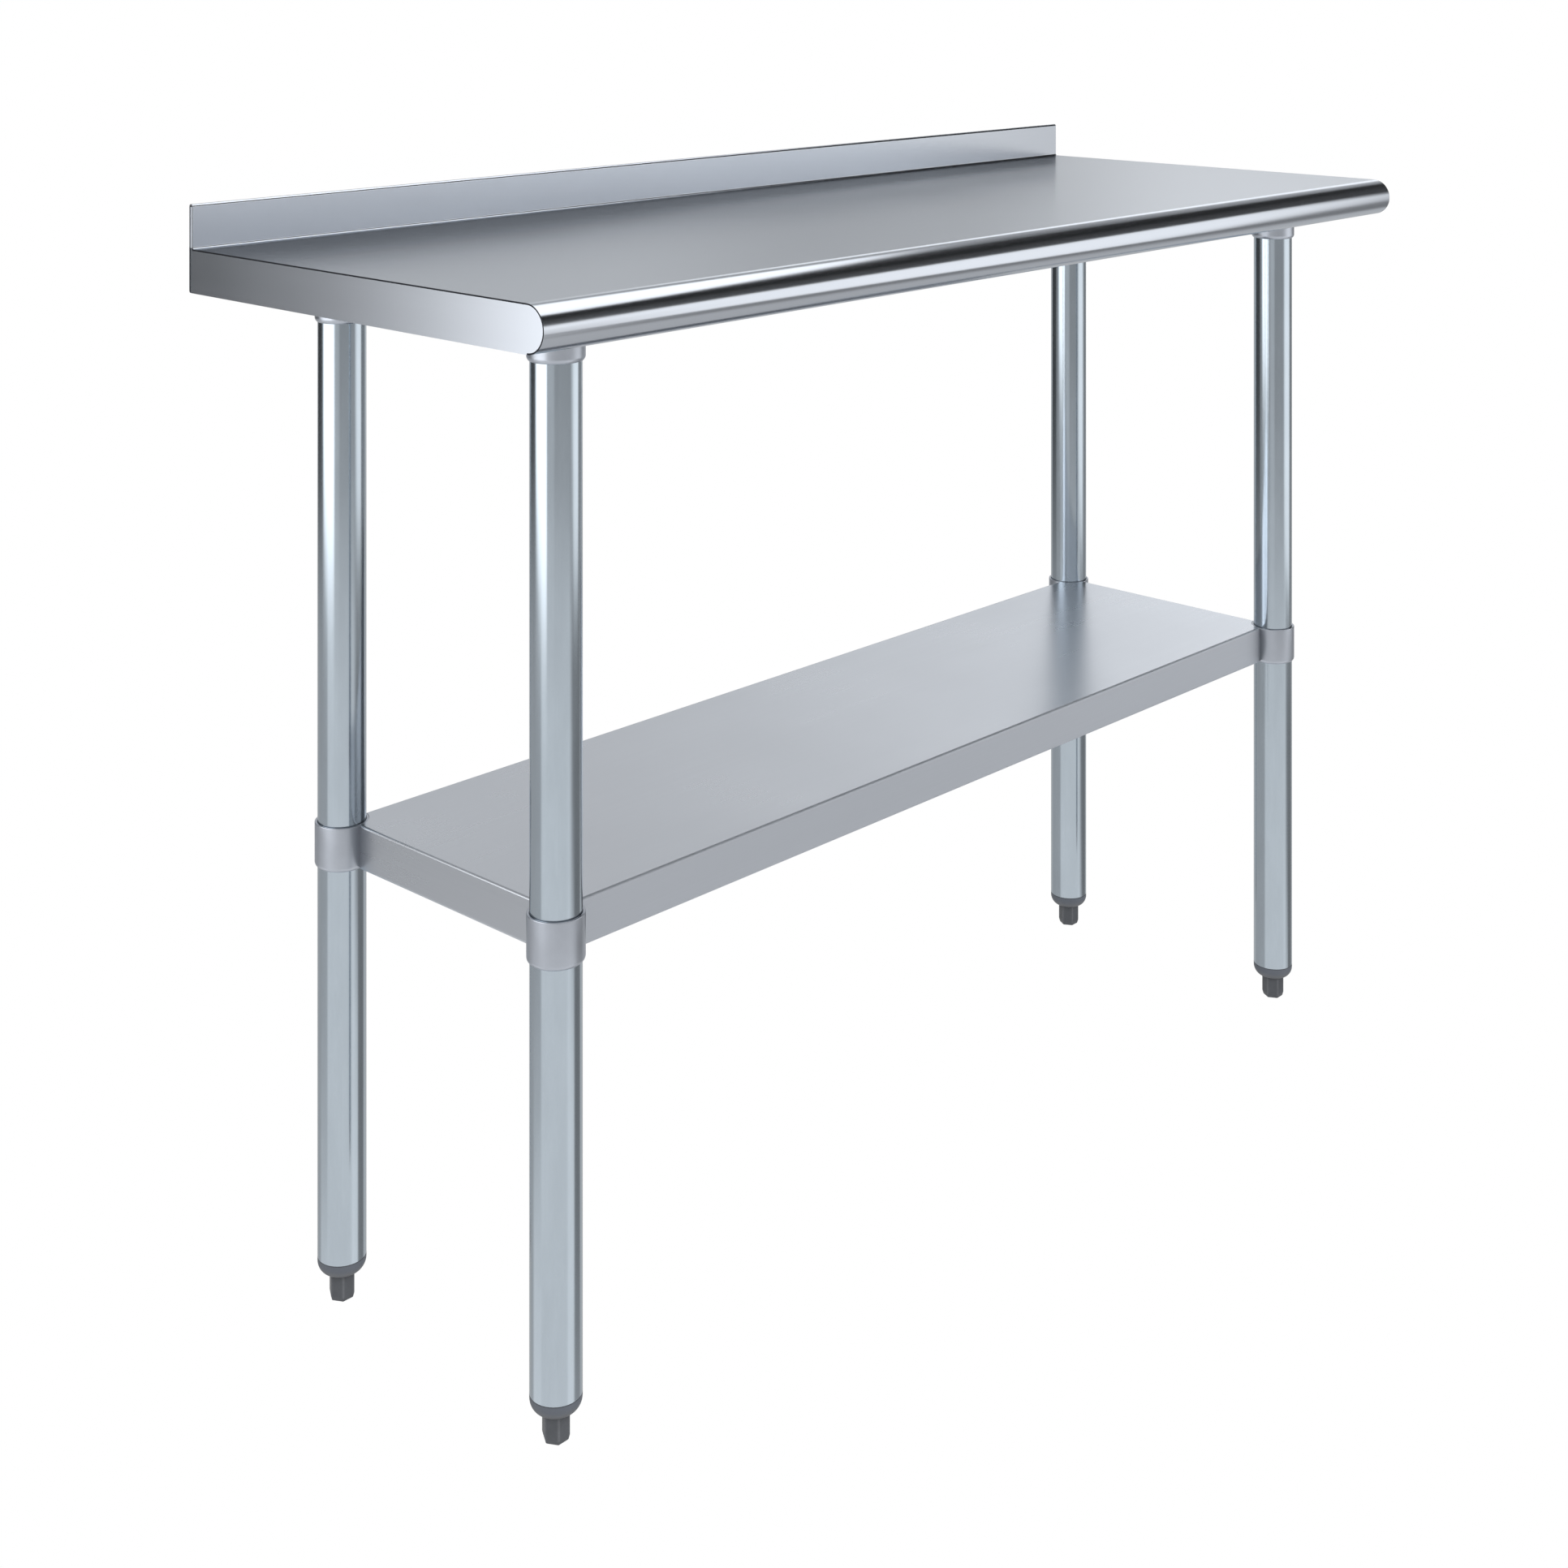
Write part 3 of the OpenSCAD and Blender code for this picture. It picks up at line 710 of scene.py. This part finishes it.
def boolean(base, tool, operation):
    """A new mesh: base joined with or cut by tool."""
    a = bpy.data.objects.new("base", base)
    b = bpy.data.objects.new("tool", tool)
    for o in (a, b):
        scene.collection.objects.link(o)
    mod = a.modifiers.new("cut", "BOOLEAN")
    mod.operation, mod.object, mod.solver = operation, b, "EXACT"
    bpy.context.view_layer.update()
    done = bpy.data.meshes.new_from_object(a.evaluated_get(bpy.context.evaluated_depsgraph_get()))
    for o in (a, b):
        bpy.data.objects.remove(o)
    return done


MM = 0.001
BORE, SLEEVE_R = 20.58 * MM, 22.85 * MM


def lower_rim(z0):
    """The rounded lower rim of a sleeve, from its inner edge out and up."""
    rim = []
    ra, zc, rc = 4.5 * MM, z0 + 3.71 * MM, SLEEVE_R - 4.5 * MM
    for k in range(9):
        a = math.asin(3.71 / 4.5) * (1 - k / 8)
        rim.append((rc + ra * math.cos(a), zc - ra * math.sin(a)))
    return rim


def rounded(cx, cz, r, a0, a1, steps=5):
    return [(cx + r * math.cos(math.radians(a0 + (a1 - a0) * k / steps)), cz + r * math.sin(math.radians(a0 + (a1 - a0) * k / steps))) for k in range(steps + 1)]


def sleeve_mesh(name, outline, boss_z):
    """A turned sleeve with a drilled boss on its +X side."""
    bm = bmesh.new()
    turned(bm, outline, 120)
    ring = to_mesh(bm, name + "_ring")
    side = Matrix.Translation((0, 0, boss_z)) @ Matrix.Rotation(math.radians(90), 4, "Y")
    bm = bmesh.new()
    rb = 7 * MM
    tip = BORE + 4.5 * MM
    profile = [(rb, 21.2 * MM), (rb, tip - 0.8 * MM), (rb - 0.24 * MM, tip - 0.24 * MM), (rb - 0.8 * MM, tip)]
    stacked(bm, [lambda a, r=r, z=z: (r, z) for r, z in profile], 64, side)
    boss = to_mesh(bm, name + "_boss")
    bm = bmesh.new()
    stacked(bm, [lambda a, r=r, z=z: (r, z) for r, z in ((4.03 * MM, 15 * MM), (4.03 * MM, 30 * MM))], 48, side)
    hole = to_mesh(bm, name + "_hole")
    mesh = boolean(boolean(ring, boss, "UNION"), hole, "DIFFERENCE")
    bm = bmesh.new()
    bm.from_mesh(mesh)
    return bm


SHELF_Z, SLEEVE_Z = 405 * MM, 367.7 * MM
outline = lower_rim(SLEEVE_Z)
outline += [(SLEEVE_R, SHELF_Z - 0.9 * MM)] + rounded(SLEEVE_R - 0.7 * MM, SHELF_Z - 0.7 * MM, 0.7 * MM, 15, 90)
outline += [(BORE + 0.55 * MM, SHELF_Z), (BORE + 0.14 * MM, SHELF_Z - 0.16 * MM), (BORE, SHELF_Z - 0.6 * MM), (BORE, SLEEVE_Z)]
shelf_sleeve = sleeve_mesh("shelf_sleeve", outline, SLEEVE_Z + 18.65 * MM)

PLATE_Z = 860.8 * MM
SOCKET_Z = 828.7 * MM
PLATE_R = 35.85 * MM
outline = lower_rim(SOCKET_Z)
outline += [(SLEEVE_R, PLATE_Z - 5.6 * MM)] + rounded(SLEEVE_R + 2.6 * MM, PLATE_Z - 5.6 * MM, 2.6 * MM, 180, 90)[1:]
outline += [(PLATE_R - 0.6 * MM, PLATE_Z - 3 * MM)] + rounded(PLATE_R - 0.6 * MM, PLATE_Z - 2.4 * MM, 0.6 * MM, -60, 0, 3)
outline += [(PLATE_R, PLATE_Z - 0.02 * MM), (BORE, PLATE_Z - 0.02 * MM), (BORE, SOCKET_Z)]
leg_socket = sleeve_mesh("leg_socket", outline, PLATE_Z - 14 * MM)

for corner, (x, y) in CORNERS.items():
    place = Matrix.Translation((x, y, 0)) @ Matrix.Rotation(inward(x, y), 4, "Z")
    for source, node, body in ((shelf_sleeve, "_shelf_sleeve", "shelf"), (leg_socket, "_leg_socket", "table")):
        bm = source.copy()
        bmesh.ops.transform(bm, matrix=place, verts=bm.verts[:])
        piece(corner + node + "_cast", to_mesh(bm, corner + node + "_cast", 35), body, socket_mat, "socket_alloy", corner + node)

    # threaded stud, moulded to the pitch the foot turns on
    bm = bmesh.new()
    thread(bm, 7.94 * MM, 2.309 * MM, 8.2 * MM, 62 * MM, 64, None, Matrix.Translation((x, y, 0)))
    tidy(bm)
    piece(corner + "_stud_thread", to_mesh(bm, corner + "_stud_thread"), corner + "_stud", zinc_mat, "zinc_hardware", corner + "_foot_stud")

    # hexagonal foot: rounded corners, chamfered base, bored top
    bm = bmesh.new()
    levels = []
    for z, corner_r in ((0, 9.6), (0.12, 9.95), (0.4, 10.2), (1.5, 10.55), (2.6, 10.9), (3.6, 11.2), (4.0, 11.3), (4.4, 11.36), (5.0, 11.4), (8, 11.4), (14, 11.4), (21.1, 11.4), (21.6, 11.27), (21.88, 11.0), (22, 10.6)):
        levels.append(lambda a, z=z, corner_r=corner_r: (hexagon(a, corner_r * MM, 64.0), z * MM))
    for r, z in ((8.5, 22), (8.12, 21.85), (8.0, 21.4), (8.0, 8.0)):
        levels.append(lambda a, r=r, z=z: (r * MM, z * MM))
    stacked(bm, levels, 120, Matrix.Translation((x, y, 0)))
    foot = to_mesh(bm, corner + "_hex_foot_moulded", 38)
    # painted highlight: how much each vertex near a rounded corner is lightened
    highlight_weight = foot.attributes.new("corner_highlight", "FLOAT", "POINT")
    for v in foot.vertices:
        off = Vector((v.co.x - x, v.co.y - y))
        turn = math.degrees(math.atan2(off.y, off.x)) % 60.0
        near = min(turn, 60.0 - turn)
        highlight_weight.data[v.index].value = max(0.0, 0.55 - near / 14.0) if off.length > 9.0 * MM and v.co.z > 3.0 * MM else 0.0
    piece(corner + "_hex_foot_moulded", foot, corner + "_foot", foot_mat, "foot_grey", corner + "_hex_foot")

# set screws: threaded, with a hexagonal recess and a flat tip
for node, body, z in (("socket_set_screws", "table", PLATE_Z - 14 * MM), ("shelf_set_screws", "shelf", SLEEVE_Z + 18.65 * MM)):
    bm = bmesh.new()
    for x, y in CORNERS.values():
        place = Matrix.Translation((x, y, z)) @ Matrix.Rotation(inward(x, y), 4, "Z") @ Matrix.Rotation(math.radians(90), 4, "Y")
        thread(bm, 4.0 * MM, 1.25 * MM, 20.55 * MM, 30.55 * MM, 36, (2.31 * MM, 4.5 * MM), place)
    tidy(bm)
    piece(node + "_cut", to_mesh(bm, node + "_cut"), body, screw_mat, "black_screws", node)

# studs and nuts that hold the channels up under the sheet
UNDER = 888.8 * MM
mid = (45 + 10) * MM
reach = LEG_X - 45 * MM - 20 * MM
STUDS = [(sx * LEG_X + f * mid, k * (LEG_Y + 12 * MM)) for sx in (-1, 1) for f in (-1, 1) for k in (-1, 0, 1)]
STUDS += [(k * reach * 0.5, f * mid) for f in (-1, 1) for k in (-1.5, -0.5, 0.5, 1.5)]
bm = bmesh.new()
for x, y in STUDS:
    thread(bm, 3.0 * MM, 1.0 * MM, UNDER - 14 * MM, UNDER, 28, None, Matrix.Translation((x, y, 0)))
tidy(bm)
piece("channel_weld_studs_cut", to_mesh(bm, "channel_weld_studs_cut"), "table", zinc_mat, "zinc_hardware", "channel_weld_studs")
bm = bmesh.new()
nut_top = UNDER - 1.5 * MM
for x, y in STUDS:
    levels = []
    for z, limit in ((5.0, 5.05), (4.45, 5.95), (0.55, 5.95), (0.0, 5.05)):
        levels.append(lambda a, z=z, limit=limit: (min(hexagon(a, 5.76 * MM, 160.0), limit * MM), nut_top - z * MM))
    for r, z in ((3.35, 0.0), (3.03, 0.32), (3.03, 4.68), (3.35, 5.0)):
        levels.append(lambda a, r=r, z=z: (r * MM, nut_top - z * MM))
    rows = stacked(bm, levels, 60, Matrix.Translation((x, y, 0)), False, False)
    for i in range(60):
        j = (i + 1) % 60
        bm.faces.new((rows[-1][i], rows[-1][j], rows[0][j], rows[0][i]))
piece("channel_nuts_cut", to_mesh(bm, "channel_nuts_cut"), "table", zinc_mat, "zinc_hardware", "channel_nuts")


# weld beads: short rippled runs where the real pieces are joined
def bead(bm, points, radius, ripple=1.7 * MM, flat=None):
    """A closed rippled bead along a list of points."""
    n = 12
    rings = []
    total = sum((b - a).length for a, b in zip(points, points[1:]))
    run = 0.0
    for i, p in enumerate(points):
        before, after = points[max(0, i - 1)], points[min(len(points) - 1, i + 1)]
        if i:
            run += (p - points[i - 1]).length
        t = (after - before).normalized()
        u = t.cross(Vector((0, 0, 1)) if abs(t.z) < 0.9 else Vector((1, 0, 0))).normalized()
        w = t.cross(u)
        end = min(run, total - run) / radius
        r = radius * min(1.0, math.sqrt(max(0.02, min(1.0, end * 0.8)))) * (1 + 0.06 * math.sin(2 * math.pi * run / ripple))
        rings.append([bm.verts.new(p + (u * math.cos(2 * math.pi * k / n) + w * math.sin(2 * math.pi * k / n)) * r) for k in range(n)])
    for a, b in zip(rings, rings[1:]):
        for k in range(n):
            j = (k + 1) % n
            bm.faces.new((a[k], a[j], b[j], b[k]))
    bm.faces.new(rings[0][::-1])
    bm.faces.new(rings[-1])


def arc(x, y, z, r, a0, a1, step=0.35 * MM):
    count = max(8, int(abs(a1 - a0) * r / step))
    return [Vector((x + r * math.cos(a0 + (a1 - a0) * k / count), y + r * math.sin(a0 + (a1 - a0) * k / count), z)) for k in range(count + 1)]


bm = bmesh.new()
for x, y in CORNERS.values():
    d = inward(x, y)
    for k in (0.0, 2.094, 4.189):
        bead(bm, arc(x, y, PLATE_Z - 1.6 * MM, PLATE_R + 0.1 * MM, d + k - 0.42, d + k + 0.42), 1.7 * MM)
piece("table_welds", to_mesh(bm, "table_welds", 60), "table", weld_mat, "frame_steel")

bm = bmesh.new()
for x, y in CORNERS.values():
    d = inward(x, y)
    bead(bm, arc(x, y, SHELF_Z - 1.7 * MM, SLEEVE_R + 0.2 * MM, d - 0.62, d + 0.62), 1.2 * MM)
    sx, sy = -math.copysign(1, x), -math.copysign(1, y)
    for px, py in (
        (x + sx * 23.1 * MM, y + sy * 4.0 * MM),
        (x + sx * 3.1 * MM, y + sy * 23.2 * MM),
    ):
        count = 80
        bead(bm, [Vector((px, py, (373 + 27.5 * k / count) * MM)) for k in range(count + 1)], 1.15 * MM)
piece("shelf_welds", to_mesh(bm, "shelf_welds", 60), "shelf", weld_mat, "frame_steel")

# spot welds that hold the stiffener under the shelf
bm = bmesh.new()
lo_s, hi_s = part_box("shelf_stiffener")
for sy in (-1, 1):
    for k in range(9):
        place = Matrix.Translation((lo_s.x + (hi_s.x - lo_s.x) * (0.04 + 0.92 * k / 8), sy * (35 + 7) * MM, hi_s.z - 1.2 * MM)) @ Matrix.Rotation(math.pi, 4, "X")
        profile = ((3.0, -0.3), (3.0, 0.0), (2.7, 0.14), (2.2, 0.10), (1.2, 0.02))
        stacked(bm, [lambda a, r=r, z=z: (r * MM, z * MM) for r, z in profile], 32, place)
piece("spot_welds", to_mesh(bm, "spot_welds", 60), "shelf", weld_mat, "frame_steel")
